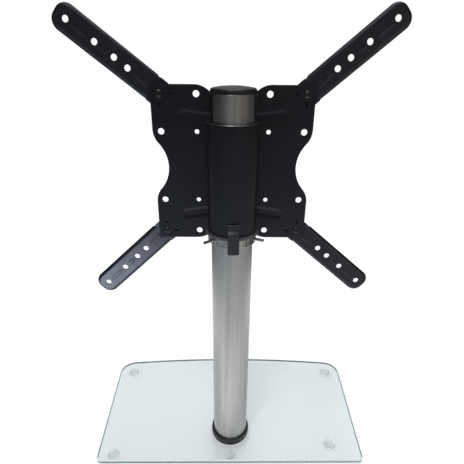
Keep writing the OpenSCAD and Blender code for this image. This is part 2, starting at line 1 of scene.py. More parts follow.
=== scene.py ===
import json
from math import acos, asin, atan2, cos, degrees, hypot, pi, radians, remainder, sin, sqrt, tan, tau

import bmesh
import bpy
import numpy as np
from mathutils import Matrix, Vector
from mathutils.geometry import delaunay_2d_cdt

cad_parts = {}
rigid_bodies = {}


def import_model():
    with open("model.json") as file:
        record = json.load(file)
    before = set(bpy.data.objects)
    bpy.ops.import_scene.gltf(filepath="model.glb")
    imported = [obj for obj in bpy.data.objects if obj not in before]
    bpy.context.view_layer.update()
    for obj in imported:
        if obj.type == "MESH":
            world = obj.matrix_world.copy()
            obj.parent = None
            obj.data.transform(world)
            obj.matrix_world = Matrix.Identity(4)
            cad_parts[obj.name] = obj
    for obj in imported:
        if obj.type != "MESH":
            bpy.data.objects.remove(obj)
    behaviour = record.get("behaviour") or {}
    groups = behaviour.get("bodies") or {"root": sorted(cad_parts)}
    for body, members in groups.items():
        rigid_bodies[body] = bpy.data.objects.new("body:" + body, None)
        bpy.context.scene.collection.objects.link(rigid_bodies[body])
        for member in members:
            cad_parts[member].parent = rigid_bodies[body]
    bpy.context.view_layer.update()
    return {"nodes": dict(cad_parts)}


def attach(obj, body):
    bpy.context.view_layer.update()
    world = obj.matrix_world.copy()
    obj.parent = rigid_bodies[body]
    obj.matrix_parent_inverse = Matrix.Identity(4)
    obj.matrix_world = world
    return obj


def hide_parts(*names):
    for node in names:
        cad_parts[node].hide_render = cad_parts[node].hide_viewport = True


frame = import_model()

# Lengths are in millimetres up to the point where a mesh is made, and in metres in the studio.
# The rear, with the pole, is -Y.
MM = 0.001
TINY = 1e-6
PLAY = 0.05
GLASS_HALF_FRONT, GLASS_HALF_REAR, GLASS_D, GLASS_RISE = 244.0, 235.0, 250.0, 14.0
GLASS_Z0, GLASS_T, GASKET_T = 5.0, 8.0, 1.0
GLASS_TOP = GLASS_Z0 + GLASS_T
POLE_Y, POLE_R, POLE_WALL, POLE_LENGTH = -63.0, 30.0, 2.0, 600.0
POLE_Z0 = GLASS_TOP + GASKET_T
POLE_Z1 = POLE_Z0 + POLE_LENGTH
POLE_BORE = POLE_R + PLAY
ON_POLE = (0, POLE_Y, 0)
SLEEVE_R, SLEEVE_BORE, SLEEVE_LENGTH, SLEEVE_BELOW = 34.5, 32.0, 150.0, 81.0
PLATE_Z, PLATE_T, PLATE_OFF_SLEEVE = 510.0, 2.5, 0.8
PLATE_Y = POLE_Y + SLEEVE_R + PLATE_OFF_SLEEVE
SLEEVE_Z0 = PLATE_Z - SLEEVE_BELOW
SLEEVE_Z1 = SLEEVE_Z0 + SLEEVE_LENGTH
BEARING_R, BEARING_T = 38.3, 4.2
BEARING_Z0 = SLEEVE_Z0 - BEARING_T
COLLAR_R, COLLAR_T = 35.0, 12.6
COLLAR_Z1 = BEARING_Z0 - 0.1
COLLAR_Z0 = COLLAR_Z1 - COLLAR_T
DISC_T, WASHER_T, NUT_H = 0.5, 1.0, 3.2
ARM_T = 2.5
ARM_Y = PLATE_Y + PLATE_T + DISC_T + 0.1
PATTERN = (50.0, 100.0)
PIVOT_AT, INDEX_AT = 100, 14.5
# Each arm's pivot, from the plate's middle, and the arm's angle at rest, from level towards +X.
PIVOTS = {"arm_upper_left": (-PIVOT_AT, PIVOT_AT, 180 - 38.0),
          "arm_upper_right": (PIVOT_AT, PIVOT_AT, 40.5),
          "arm_lower_left": (-PIVOT_AT, -PIVOT_AT, 180 + 43.0),
          "arm_lower_right": (PIVOT_AT, -PIVOT_AT, -40.5)}
CORNERS = [(sx, sy) for sx in (-1, 1) for sy in (-1, 1)]


# Geometry helpers

def arc(cx, cy, r, a0, a1, steps):
    """Points along an arc, angles in degrees, both ends included."""
    turns = [radians(a0 + (a1 - a0) * i / steps) for i in range(steps + 1)]
    return [(cx + r * cos(a), cy + r * sin(a)) for a in turns]


def circle(cx, cy, r, n):
    return arc(cx, cy, r, 0, 360, n)[:-1]


def stadium(cx, cy, length, width, angle, n):
    run = (length - width) / 2
    pts = arc(run, 0, width / 2, -90, 90, n) + arc(-run, 0, width / 2, 90, 270, n)
    c, s = cos(radians(angle)), sin(radians(angle))
    return [(cx + x * c - y * s, cy + x * s + y * c) for x, y in pts]


def ring_at(r, z, n):
    turns = [2 * pi * k / n for k in range(n)]
    return [(r * cos(a), r * sin(a), z) for a in turns]


def hexagon_ring(flats, z, n):
    """Points round a hexagon at the same directions as a circle of n points."""
    out = []
    for k in range(n):
        a = 2 * pi * k / n
        fold = (a + pi / 6) % (pi / 3) - pi / 6
        r = flats / 2 / cos(fold)
        out.append((r * cos(a), r * sin(a), z))
    return out


def smooth(x):
    x = np.clip(x, 0.0, 1.0)
    return x * x * (3 - 2 * x)


def offset(loop, d):
    """A loop moved to the left of its travel by d: inwards for a counter-clockwise loop."""
    sharpest = 0.3
    p = np.array(loop, float)
    ahead, behind = np.roll(p, -1, 0) - p, p - np.roll(p, 1, 0)
    n1 = np.stack([-behind[:, 1], behind[:, 0]], 1) / np.linalg.norm(behind, axis=1)[:, None]
    n2 = np.stack([-ahead[:, 1], ahead[:, 0]], 1) / np.linalg.norm(ahead, axis=1)[:, None]
    m = n1 + n2
    m /= np.maximum(np.sum(m * n1, axis=1), sharpest)[:, None]
    return [tuple(q) for q in p + m * d]


def inside(points, loop):
    """True for the points within a loop, by counting crossings."""
    pts, lp = np.array(points, float), np.array(loop, float)
    hit = np.zeros(len(pts), bool)
    for (x0, y0), (x1, y1) in zip(lp, np.roll(lp, -1, 0)):
        if y0 == y1:
            continue
        cross = (pts[:, 1] < y0) != (pts[:, 1] < y1)
        hit ^= cross & (pts[:, 0] < (x1 - x0) * (pts[:, 1] - y0) / (y1 - y0) + x0)
    return hit


def depth_in(points, loop):
    """How far each point lies inside a loop, below zero outside it."""
    pts, lp = np.array(points, float), np.array(loop, float)
    best = np.full(len(pts), np.inf)
    for a, b in zip(lp, np.roll(lp, -1, 0)):
        ab = b - a
        t = np.clip(((pts - a) @ ab) / (ab @ ab), 0, 1)
        best = np.minimum(best, np.linalg.norm(pts - (a + t[:, None] * ab), axis=1))
    return np.where(inside(pts, loop), best, -best)


def fillet(points, radii, steps):
    """A closed profile with each corner rounded by its own radius. Zero leaves a corner sharp."""
    most = 0.49
    out, n = [], len(points)
    for i, (p, r) in enumerate(zip(points, radii)):
        p = Vector(p)
        if r <= 0:
            out.append(tuple(p))
            continue
        va, vb = Vector(points[i - 1]) - p, Vector(points[(i + 1) % n]) - p
        la, lb = va.length, vb.length
        va.normalize()
        vb.normalize()
        half = va.angle(vb) / 2
        d = min(r / tan(half), most * la, most * lb)
        r = d * tan(half)
        c = p + (va + vb).normalized() * (r / sin(half))
        s, e = p + va * d - c, p + vb * d - c
        turn = s.angle_signed(e)
        for k in range(steps + 1):
            out.append(tuple(c + Matrix.Rotation(-turn * k / steps, 2) @ s))
    return out


def tube(r0, r1, z0, z1, radii, steps):
    """A tube's profile with rounded corners, the first at the lower end of the bore."""
    return fillet([(r0, z0), (r1, z0), (r1, z1), (r0, z1)], radii, steps)


def band(a, b):
    """Faces between two rows of vertex numbers that run round."""
    n = len(a)
    return [[a[k], a[(k + 1) % n], b[(k + 1) % n], b[k]] for k in range(n)]


def lathe(profile, n):
    """A closed profile of (radius, height) turned about the Z axis."""
    rings, verts, faces = [], [], []
    for r, z in profile:
        if r < TINY:
            rings.append([len(verts)] * n)
            verts.append((0, 0, z))
        else:
            rings.append(range(len(verts), len(verts) + n))
            verts += ring_at(r, z, n)
    for a, b in zip(rings, rings[1:] + rings[:1]):
        for quad in band(a, b):
            corners = [v for j, v in enumerate(quad) if v != quad[j - 1]]
            if len(corners) > 2:
                faces.append(corners)
    return verts, faces


def loft(rings, closed=False):
    """Rings of equal length joined in turn, with both ends capped unless the row of rings is closed."""
    n = len(rings[0])
    rows = [range(i * n, (i + 1) * n) for i in range(len(rings))]
    faces = [face for a, b in zip(rows, rows[1:]) for face in band(a, b)]
    if closed:
        faces += band(rows[-1], rows[0])
    else:
        faces += [list(rows[0]), list(reversed(rows[-1]))]
    return [v for ring in rings for v in ring], faces


def moved(mesh, matrix=None, shift=(0, 0, 0)):
    verts, faces = mesh
    m, s = matrix or Matrix.Identity(3), Vector(shift)
    return [tuple(m @ Vector(v) + s) for v in verts], faces


def about_pole(profile, n):
    return moved(lathe(profile, n), shift=ON_POLE)


def joined(*meshes):
    verts, faces = [], []
    for v, f in meshes:
        faces += [[i + len(verts) for i in face] for face in f]
        verts += v
    return verts, faces


def piece(name, mesh, body, nodes, material, sharp=32, bare=None, where=None):
    """Makes a piece from millimetres, puts it on its body and hides the CAD nodes it stands for.

    The faces that where(face) picks get the second material."""
    same_place, no_length = 2e-7, 1e-8
    verts, faces = mesh
    data = bpy.data.meshes.new(name)
    data.from_pydata([tuple(c * MM for c in v) for v in verts], [], faces)
    bm = bmesh.new()
    bm.from_mesh(data)
    bmesh.ops.remove_doubles(bm, verts=bm.verts, dist=same_place)
    bmesh.ops.dissolve_degenerate(bm, edges=bm.edges, dist=no_length)
    bmesh.ops.recalc_face_normals(bm, faces=bm.faces)
    bm.to_mesh(data)
    bm.free()
    data.shade_smooth()
    data.set_sharp_from_angle(angle=radians(sharp))
    data.materials.append(material)
    if bare:
        data.materials.append(bare)
        for face in data.polygons:
            face.material_index = int(where(face))
    obj = bpy.data.objects.new(name, data)
    bpy.context.scene.collection.objects.link(obj)
    obj.modifiers.new("normals", "WEIGHTED_NORMAL").keep_sharp = True
    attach(obj, body)
    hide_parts(*nodes)
    return obj


def triangulated(loops, lines, points):
    """Triangles inside the first loop and outside the others, with edges along the lines.

    Gives the corners, the triangles, and the numbers of each loop's points among the corners."""
    merge = 1e-5
    flat, edges, rows = [], [], []
    for lp in loops + lines:
        row = range(len(flat), len(flat) + len(lp))
        edges += [(i, row[(k + 1) % len(row)]) for k, i in enumerate(row)]
        flat += lp
        rows.append(row)
    out = delaunay_2d_cdt([Vector(p) for p in flat + points], edges, [], 0, merge)
    xy = np.array([tuple(p) for p in out[0]], float)
    number = {point: k for k, names in enumerate(out[3]) for point in names}
    centres = np.array([xy[list(t)].mean(0) for t in out[2]])
    keep = inside(centres, loops[0])
    for hole in loops[1:]:
        keep &= ~inside(centres, hole)
    borders = [[number[i] for i in row] for row in rows[:len(loops)]]
    return xy, [list(t) for t, k in zip(out[2], keep) if k], borders


def sheet(outer, holes, lines, points, thick, edge, place):
    """A pressed sheet with rounded edges, given by its flat blank.

    place(xy) gives the points and unit normals of its front face for places in the blank."""
    loops = [offset(outer, edge)] + [offset(h, -edge) for h in holes]
    xy, tris, borders = triangulated(loops, lines, points)
    used = sorted({i for t in tris for i in t})
    front, normal = place(xy[used])
    number = {v: i for i, v in enumerate(used)}
    tris = [[number[i] for i in t] for t in tris]
    n, steps = len(used), 3
    verts = [tuple(p) for p in front] + [tuple(p) for p in front - thick * normal]
    faces = tris + [[i + n for i in reversed(t)] for t in tris]
    turns = [k / steps * pi / 2 for k in range(1, steps + 1)]
    levels = [(edge * (1 - sin(a)), edge * (1 - cos(a))) for a in turns]
    levels += [(inset, thick - depth) for inset, depth in reversed(levels)]
    for loop, border in zip([outer] + holes, borders):
        side = 1 if loop is outer else -1
        rows = [[number[i] for i in border]]
        for inset, depth in levels:
            p, out = place(np.array(offset(loop, side * inset), float))
            rows.append(range(len(verts), len(verts) + len(loop)))
            verts += [tuple(q) for q in p - depth * out]
        rows.append([i + n for i in rows[0]])
        for a, b in zip(rows, rows[1:]):
            faces += band(a, b)
    return verts, faces


def pressings(forms):
    """Contour lines of pressed forms, and their height as a function.

    A form has a loop, a height, a slope, and a number of contours that lie a quarter of the slope apart."""
    lines = [offset(loop, slope * k / 4) for loop, _, slope, rows in forms for k in range(rows)]
    return lines, lambda xy: sum(high * smooth(depth_in(xy, loop) / slope) for loop, high, slope, _ in forms)


# Materials

class Nodes:
    """A material's node tree, with short ways to add the nodes that are used here."""

    def __init__(self, name):
        self.mat = bpy.data.materials.new(name)
        self.mat.use_nodes = True
        self.tree = self.mat.node_tree
        self.tree.nodes.clear()
        self.out = self.tree.nodes.new("ShaderNodeOutputMaterial")
        self.bsdf = self.add("ShaderNodeBsdfPrincipled")
        self.link(self.bsdf.outputs[0], self.out.inputs["Surface"])
        self.coords = self.add("ShaderNodeTexCoord").outputs["Object"]

    def add(self, kind, **values):
        node = self.tree.nodes.new(kind)
        for k, v in values.items():
            setattr(node, k, v)
        return node

    def link(self, a, b):
        self.tree.links.new(a, b)

    def set(self, **values):
        for k, v in values.items():
            self.bsdf.inputs[k.replace("_", " ")].default_value = v
        return self

    def split(self):
        """The object coordinates as three outputs, X, Y and Z."""
        node = self.add("ShaderNodeSeparateXYZ")
        self.link(self.coords, node.inputs[0])
        return node.outputs

    def noise(self, scale, stretch=(1, 1, 1), detail=3.0):
        mapping = self.add("ShaderNodeMapping")
        mapping.inputs["Scale"].default_value = stretch
        self.link(self.coords, mapping.inputs["Vector"])
        node = self.add("ShaderNodeTexNoise")
        node.inputs["Scale"].default_value = scale
        node.inputs["Detail"].default_value = detail
        node.inputs["Roughness"].default_value = 0.55
        self.link(mapping.outputs[0], node.inputs["Vector"])
        return node.outputs["Fac"]

    def ramp(self, fac, *stops):
        node = self.add("ShaderNodeValToRGB")
        elements = node.color_ramp.elements
        while len(elements) < len(stops):
            elements.new(0.5)
        for e, (pos, col) in zip(elements, stops):
            e.position = pos
            e.color = (*col, 1)
        self.link(fac, node.inputs["Fac"])
        return node.outputs["Color"]

    def span(self, fac, low, high, start=0.3, end=0.7):
        node = self.add("ShaderNodeMapRange")
        for k, v in (("From Min", start), ("From Max", end), ("To Min", low), ("To Max", high)):
            node.inputs[k].default_value = v
        self.link(fac, node.inputs["Value"])
        return node.outputs["Result"]

    def mix(self, fac, tone, colour):
        """A tone with a share of another colour mixed in."""
        node = self.add("ShaderNodeMix", data_type="RGBA")
        self.link(fac, node.inputs["Factor"])
        self.link(tone, node.inputs["A"])
        node.inputs["B"].default_value = (*colour, 1)
        return node.outputs["Result"]

    def bump(self, height, strength, distance):
        node = self.add("ShaderNodeBump")
        node.inputs["Strength"].default_value = strength
        node.inputs["Distance"].default_value = distance
        self.link(height, node.inputs["Height"])
        return node.outputs["Normal"]

    def light_shadow(self, tint):
        """Lets tinted light through where a shadow would fall."""
        shadow = self.add("ShaderNodeBsdfTransparent")
        shadow.inputs["Color"].default_value = (*tint, 1)
        pick = self.add("ShaderNodeMixShader")
        self.link(self.add("ShaderNodeLightPath").outputs["Is Shadow Ray"], pick.inputs[0])
        self.link(self.bsdf.outputs[0], pick.inputs[1])
        self.link(shadow.outputs[0], pick.inputs[2])
        self.link(pick.outputs[0], self.out.inputs["Surface"])

    def finish(self, colour, rough=None, normal=None):
        for v, name in ((colour, "Base Color"), (rough, "Roughness"), (normal, "Normal")):
            if v is not None:
                self.link(v, self.bsdf.inputs[name])
        return self.mat


def powder_coat(name, low, high):
    m = Nodes(name).set(IOR=1.5, Specular_IOR_Level=0.46, Specular_Tint=(0.87, 0.91, 1.0, 1))
    cloud = m.noise(9, detail=4)
    colour = m.ramp(cloud, (0.3, low), (0.7, high))
    peel = m.noise(700, detail=2)
    rough = m.span(m.noise(60, detail=4), 0.31, 0.40)
    return m.finish(colour, rough, m.bump(peel, 0.25, 0.00025))


def brushed_steel():
    """Brushed round the tube: reflections are sharp sideways and drawn out up and down."""
    m = Nodes("brushed_stainless_pole").set(Metallic=1.0, Anisotropic=0.92, Anisotropic_Rotation=0.25)
    round_pole = m.add("ShaderNodeTangent", direction_type="RADIAL", axis="Z")
    m.link(round_pole.outputs[0], m.bsdf.inputs["Tangent"])
    lines = m.noise(90, (0.4, 0.4, 12), detail=1)
    streaks = m.noise(120, (1, 1, 0.02), detail=2)
    threads = m.noise(480, (1, 1, 0.01), detail=1)
    blotch = m.noise(16, (1, 1, 0.3), detail=1)
    tone = m.ramp(streaks, (0.25, (0.42, 0.412, 0.401)), (0.75, (0.66, 0.649, 0.633)))
    tone = m.mix(m.span(blotch, 0.0, 0.35), tone, (0.45, 0.443, 0.432))
    tone = m.mix(m.span(threads, 0.0, 0.35), tone, (0.38, 0.373, 0.362))
    tone = m.mix(m.span(lines, 0.0, 0.05), tone, (0.62, 0.61, 0.59))
    return m.finish(tone, m.span(blotch, 0.24, 0.33))


def polished_steel():
    m = Nodes("polished_collar_steel").set(Metallic=1.0)
    patches = m.noise(55, (1, 1, 0.4), detail=1)
    colour = m.ramp(patches, (0.35, (0.20, 0.19, 0.18)), (0.65, (0.55, 0.535, 0.51)))
    return m.finish(colour, m.span(patches, 0.10, 0.2), m.bump(m.noise(260), 0.05, 0.00004))


def zinc(name):
    m = Nodes(name).set(Metallic=1.0)
    cloud = m.noise(160, detail=3)
    colour = m.ramp(cloud, (0.35, (0.50, 0.51, 0.52)), (0.65, (0.64, 0.64, 0.63)))
    return m.finish(colour, m.span(m.noise(500), 0.16, 0.28), m.bump(m.noise(900, detail=2), 0.12, 0.0001))


def black_oxide():
    m = Nodes("black_oxide_screw").set(IOR=1.6)
    cloud = m.noise(300, detail=3)
    colour = m.ramp(cloud, (0.35, (0.008, 0.008, 0.010)), (0.65, (0.014, 0.014, 0.017)))
    return m.finish(colour, m.span(cloud, 0.16, 0.24), m.bump(m.noise(1500, detail=2), 0.10, 0.00005))


def black_plastic(name, rough, base):
    m = Nodes(name).set(IOR=1.49)
    cloud = m.noise(40, detail=4)
    low, high = ((base * share, base * share, base * (share + 0.1)) for share in (0.8, 1.25))
    grain = m.noise(2200, detail=2)
    colour = m.ramp(cloud, (0.3, low), (0.7, high))
    return m.finish(colour, m.span(cloud, *rough), m.bump(grain, 0.12, 0.0001))


def rubber():
    m = Nodes("black_rubber_sheet")
    cloud = m.noise(120, detail=4)
    colour = m.ramp(cloud, (0.3, (0.020, 0.020, 0.020)), (0.7, (0.035, 0.035, 0.034)))
    return m.finish(colour, m.span(cloud, 0.6, 0.8), m.bump(m.noise(1800, detail=2), 0.25, 0.0001))


def tinted_inside(m):
    """Lets light through to the floor, and tints what is seen through the thickness."""
    m.light_shadow((0.91, 0.93, 0.94))
    body = m.add("ShaderNodeVolumeAbsorption")
    body.inputs["Color"].default_value = (0.05, 0.68, 0.62, 1)
    body.inputs["Density"].default_value = 9.0
    m.link(body.outputs[0], m.out.inputs["Volume"])
    return m.mat


def clear_glass():
    m = Nodes("clear_base_glass").set(Transmission_Weight=1.0, IOR=1.52, Roughness=0.0)
    wave = m.noise(5, detail=1)
    colour = m.ramp(wave, (0.3, (0.940, 0.921, 0.941)), (0.7, (0.950, 0.931, 0.951)))
    m.finish(colour, None, m.bump(wave, 0.02, 0.001))
    return tinted_inside(m)


def ground_edge_painted_light():
    """The ground edge's colour is painted by height: a pale painted highlight at the top, where light enters
    from above, and dark green painted shade towards the floor.
    """
    m = Nodes("ground_glass_edge_painted_light").set(Transmission_Weight=0.20, IOR=1.52)
    level = m.span(m.split()["Z"], 0.0, 1.0, GLASS_Z0 * MM, GLASS_TOP * MM)
    # Painted highlight at the top of the edge and painted shade towards the floor, by height.
    colour = m.ramp(level, (0.0, (0.04, 0.12, 0.11)), (0.46, (0.06, 0.17, 0.15)),
                    (0.60, (0.80, 0.91, 0.89)), (1.0, (0.92, 0.97, 0.96)))
    m.finish(colour, m.span(m.noise(300), 0.18, 0.30))
    return tinted_inside(m)


def clear_soft(name, tint, rough, clear):
    m = Nodes(name).set(Transmission_Weight=clear, IOR=1.46)
    cloud = m.noise(60, detail=1)
    m.finish(m.ramp(cloud, (0.3, tuple(c * 0.97 for c in tint)), (0.7, tint)), m.span(cloud, *rough))
    m.light_shadow([c * 0.8 for c in tint])
    return m.mat


COAT = powder_coat("black_powder_coat", (0.0048, 0.0049, 0.0066), (0.0070, 0.0071, 0.0094))
WORN_COAT = powder_coat("worn_strip_coat", (0.012, 0.014, 0.020), (0.017, 0.019, 0.027))
POLE = brushed_steel()
CHROME = polished_steel()
ZINC = zinc("zinc_plated_steel")
# Bare steel for the sleeve's upper end, which also serves as a painted highlight along the lit rim.
BARE_END_HIGHLIGHT = zinc("bare_tube_end_highlight")
SCREW = black_oxide()
PLASTIC = black_plastic("black_moulded_plastic", (0.30, 0.42), 0.016)
CAP = black_plastic("black_cap_plastic", (0.30, 0.38), 0.009)
BEARING = black_plastic("black_bearing_plastic", (0.34, 0.44), 0.048)
RUBBER = rubber()
GLASS = clear_glass()
# The glass edge's colour holds a painted highlight along its top and painted shade below.
GLASS_EDGE = ground_edge_painted_light()
BUTTON = clear_soft("clear_bumper_rubber", (0.92, 0.94, 0.945), (0.02, 0.05), 1.0)
GASKET = clear_soft("clear_gasket_sheet", (0.98, 0.99, 0.985), (0.20, 0.30), 0.1)


# The glass and what stands on it

def glass_outline(inset):
    """Straight rear edge, sides that widen towards the front, bowed front edge, all corners rounded."""
    front_r, rear_r = 30.0, 9.0
    bow_r = (GLASS_HALF_FRONT ** 2 + GLASS_RISE ** 2) / (2 * GLASS_RISE)
    bow_y = GLASS_D / 2 - bow_r
    rear = (GLASS_HALF_REAR - rear_r, rear_r - GLASS_D / 2)
    front_x = GLASS_HALF_FRONT - front_r
    front = (front_x, bow_y + sqrt((bow_r - front_r) ** 2 - front_x ** 2))
    dx, dy = front[0] - rear[0], front[1] - rear[1]
    side = degrees(atan2(dy, dx) - acos((rear_r - front_r) / hypot(dx, dy)))
    top = degrees(atan2(front[1] - bow_y, front[0]))
    half = arc(*rear, rear_r - inset, -90, side, 12) + arc(*front, front_r - inset, side, top, 24)[:-1]
    half += arc(0, bow_y, bow_r - inset, top, 90, 40)[:-1]
    return half + [(0, GLASS_D / 2 - inset)] + [(-x, y) for x, y in reversed(half)]


def build_glass():
    bevel, ease, hole_r, hole_n, level_normal = 1.2, 0.35, 11.0, 64, 0.95
    low_edge = [(bevel, 0.0), (ease, bevel * 0.62), (0.0, bevel * 1.15)]
    levels = low_edge + [(inset, GLASS_T - z) for inset, z in reversed(low_edge)]
    rings = [[(x, y, GLASS_Z0 + z) for x, y in glass_outline(inset)] for inset, z in levels]
    verts = [v for ring in rings for v in ring]
    rows = [range(i * len(rings[0]), (i + 1) * len(rings[0])) for i in range(len(rings))]
    faces = [face for a, b in zip(rows, rows[1:]) for face in band(a, b)]
    bore = [(x, y + POLE_Y) for x, y in circle(0, 0, hole_r, hole_n)]
    bore_rows = []
    for ring, row in ((rings[0], rows[0]), (rings[-1], rows[-1])):
        bore_row = range(len(verts), len(verts) + hole_n)
        verts += [(x, y, ring[0][2]) for x, y in bore]
        _, tris, borders = triangulated([[v[:2] for v in ring], bore], [], [])
        number = dict(zip(borders[0] + borders[1], [*row, *bore_row]))
        faces += [[number[i] for i in t] for t in tris]
        bore_rows.append(bore_row)
    faces += band(*bore_rows)

    def at_edge(face):
        x, y, _ = face.center
        return abs(face.normal.z) < level_normal and hypot(x, y - POLE_Y * MM) > 2 * hole_r * MM

    piece("base_glass_polished", (verts, faces), "stand", ["base_glass"], GLASS, 24,
          bare=GLASS_EDGE, where=at_edge)


def build_feet():
    """Five clear buttons. The one at the right rear stands further in than the others."""
    front_y, rear_y, inset = 87, -110, 28
    odd_y, odd_inset = -91, 54

    def half(y):
        widening = GLASS_HALF_FRONT - GLASS_HALF_REAR
        return GLASS_HALF_REAR + widening * (y + GLASS_D / 2) / (GLASS_D - GLASS_RISE)

    places = [(-(half(front_y) - inset), front_y), (half(front_y) - inset, front_y),
              (-(half(rear_y) - inset), rear_y), (half(odd_y) - odd_inset, odd_y), (0, rear_y)]
    sole, side, top = 4.6, 5.4, GLASS_Z0 - PLAY
    profile = [(0, 0), (sole, 0)] + arc(sole, side, side, -90, -8, 10)[1:]
    profile += [(9.96, top - 0.05), (9.6, top), (7.4, top)]
    profile += [(6.9, 3.9), (6.0, 3.5), (5.2, 3.9), (4.7, 4.8), (0, 4.8)]
    meshes = [moved(lathe(profile, 48), shift=(x, y, 0)) for x, y in places]
    piece("bumper_buttons", joined(*meshes), "stand", ["bumper_feet"], BUTTON, 50)


def build_pole():
    profile = tube(POLE_R - POLE_WALL, POLE_R, POLE_Z0, POLE_Z1, [0.3, 0.3, 0.5, 0.3], 3)
    piece("pole_tube_brushed", about_pole(profile, 160), "stand", ["pole_tube"], POLE)


def build_cap():
    """A skirt inside the tube, then a lip on the tube's end with a round edge and a low crown."""
    z, rim, skirt_wall, skirt_depth = POLE_Z1 + PLAY, POLE_R - PLAY, 2.0, 18.0
    skirt = rim - POLE_WALL
    flat, crown, edge_z = POLE_R - 4.0, 2.5, POLE_Z1 + 2.5
    edge = rim - flat
    swing = (flat ** 2 + crown ** 2) / (2 * crown)
    lean = 90 - degrees(asin(flat / swing))
    cap = [(0, z), (skirt - skirt_wall, z), (skirt - skirt_wall, z - skirt_depth), (skirt, z - skirt_depth)]
    cap += [(skirt, z), (rim - 0.35, z), (rim - 0.08, z + 0.12), (rim, z + 0.4)]
    cap += arc(flat, edge_z, edge, 0, lean, 10)
    cap += arc(0, edge_z + crown - swing + PLAY, swing + edge, lean, 90, 10)[1:]
    piece("pole_cap_moulded", about_pole(cap, 128), "stand", ["pole_cap"], CAP, 40)


def build_trim_ring():
    """The ring at the pole's foot: a low step, a groove and a wall with a rounded top."""
    r, bore, groove, z, high = 33.84, POLE_BORE, 1.1, POLE_Z0, 12.0
    points = [(bore, z), (r - 0.25, z), (r - 0.1, z + 2.6), (r - groove, z + 3.0), (r - groove, z + 3.6),
              (r, z + 4.2), (r - 0.15, z + high), (bore, z + high)]
    ring = fillet(points, [0.1, 0.3, 0.3, 0.2, 0.2, 0.3, 2.9, 0.3], 5)
    piece("trim_ring_moulded", about_pole(ring, 128), "stand", ["pole_trim_ring"],
          PLASTIC, 40)


def build_gasket():
    bolt_r, r, play = 4.1, 35.8, 0.04
    profile = tube(bolt_r, r, GLASS_TOP + play, POLE_Z0 - play, [0, 0.3, 0.3, 0], 3)
    piece("pole_gasket_clear", about_pole(profile, 96), "stand", ["pole_gasket"], GASKET)


# Sleeve, bearing and collar

def thread(crest, z0, z1, pitch, depth):
    """Radius and height along a threaded run, as fine rings."""
    turns = round((z1 - z0) / pitch)
    step, root = (z1 - z0) / turns, crest - depth
    tooth = ((root, 0.0), (root, 0.2), (crest, 0.45), (crest, 0.65), (root, 0.9))
    return [(r, z0 + i * step + share * step) for i in range(turns) for r, share in tooth] + [(root, z1)]


def set_screw(length):
    """A headless screw along +Z from zero, with a hexagon socket in its far end."""
    flats, socket, r, pitch, depth, n = 2.5, 3.0, 2.3, 0.8, 0.28, 36
    run = [(1.2, 0), (1.9, 0.5)] + thread(r, 0.9, length - 0.8, pitch, depth)
    rings = [ring_at(a, z, n) for a, z in run + [(r - 0.05, length - 0.35), (r - 0.35, length)]]
    rings += [hexagon_ring(across, z, n)
              for across, z in ((flats + 0.15, length), (flats, length - 0.15), (flats, length - socket))]
    return loft(rings)


def build_sleeve():
    """The sleeve's tube, coated but for a bare steel band on its upper end, which also serves as a painted
    highlight along the lit rim.
    """
    # The bare band is also a painted highlight along the rim.
    bare_highlight_end = 0.66
    profile = tube(SLEEVE_BORE, SLEEVE_R, SLEEVE_Z0, SLEEVE_Z1, [0.2, 0.5, 0.7, 0.2], 4)
    piece("sleeve_tube_coated", about_pole(profile, 144), "bracket", ["sleeve_tube"],
          COAT, bare=BARE_END_HIGHLIGHT, where=lambda face: face.center.z > (SLEEVE_Z1 - bare_highlight_end) * MM)


def build_upper_bush():
    r, z0, z1 = SLEEVE_BORE - 0.02, SLEEVE_Z1 - 25, SLEEVE_Z1 - 0.1
    bush = tube(POLE_BORE, r, z0, z1, [0.2, 0.2, 0.3, 0.5], 3)
    piece("upper_bush_moulded", about_pole(bush, 128), "bracket", ["upper_bush"], PLASTIC)


def build_bearing():
    """A flange under the sleeve, cut flat towards the plate, with a spigot up into the sleeve's bore."""
    z0, z1, spigot = BEARING_Z0, SLEEVE_Z0, 25
    points = [(POLE_BORE, z0), (BEARING_R, z0), (BEARING_R, z1), (SLEEVE_BORE, z1),
              (SLEEVE_BORE, z1 + spigot), (POLE_BORE, z1 + spigot)]
    verts, faces = lathe(fillet(points, [0.3, 1.2, 1.2, 0, 0.3, 0.3], 5), 144)
    flat = PLATE_Y - 0.3 - POLE_Y
    verts = [(x, min(y, flat), z) for x, y, z in verts]
    piece("bearing_ring_moulded", moved((verts, faces), shift=ON_POLE), "bracket", ["bearing_ring"],
          BEARING, 40)


def build_collar():
    """A ring with five slots in its side. Columns of points are added where the slots begin and end."""
    r, chamfer, slot_half, slot_depth, lip, near_side = COLLAR_R, 0.8, 0.8, 1.2, 0.12, 1.0
    cut, eased, clear = 0.9, 1.1, 1.8
    points = [(POLE_BORE, COLLAR_Z0), (r - chamfer, COLLAR_Z0), (r, COLLAR_Z0 + chamfer),
              (r, COLLAR_Z1 - chamfer), (r - chamfer, COLLAR_Z1), (POLE_BORE, COLLAR_Z1)]
    prof = fillet(points, [0.3, 0.25, 0.25, 0.25, 0.25, 0.3], 3)
    slots, half = [radians(-90 - 38 + 72 * k) for k in range(5)], slot_half / r

    def from_slot(turn):
        """The angle to the nearest slot's middle, in half widths of a slot."""
        return min(abs(remainder(turn - a, tau)) for a in slots) / half

    turns = [t for t in (2 * pi * k / 144 for k in range(144)) if from_slot(t) > clear]
    turns += [(a + f * half) % tau for a in slots for f in (-1.25, -1.0, -0.86, 0.0, 0.86, 1.0, 1.25)]
    verts = []
    for radius, z in prof:
        for t in sorted(turns):
            off, here = from_slot(t), radius
            if off < cut:
                here = min(radius, r - slot_depth)
            elif off < eased and radius > r - near_side:
                here = radius - lip
            verts.append((here * cos(t), here * sin(t), z))
    _, faces = lathe(prof, len(turns))
    piece("lock_collar_polished", moved((verts, faces), shift=ON_POLE), "collar", ["lock_collar"],
          CHROME)


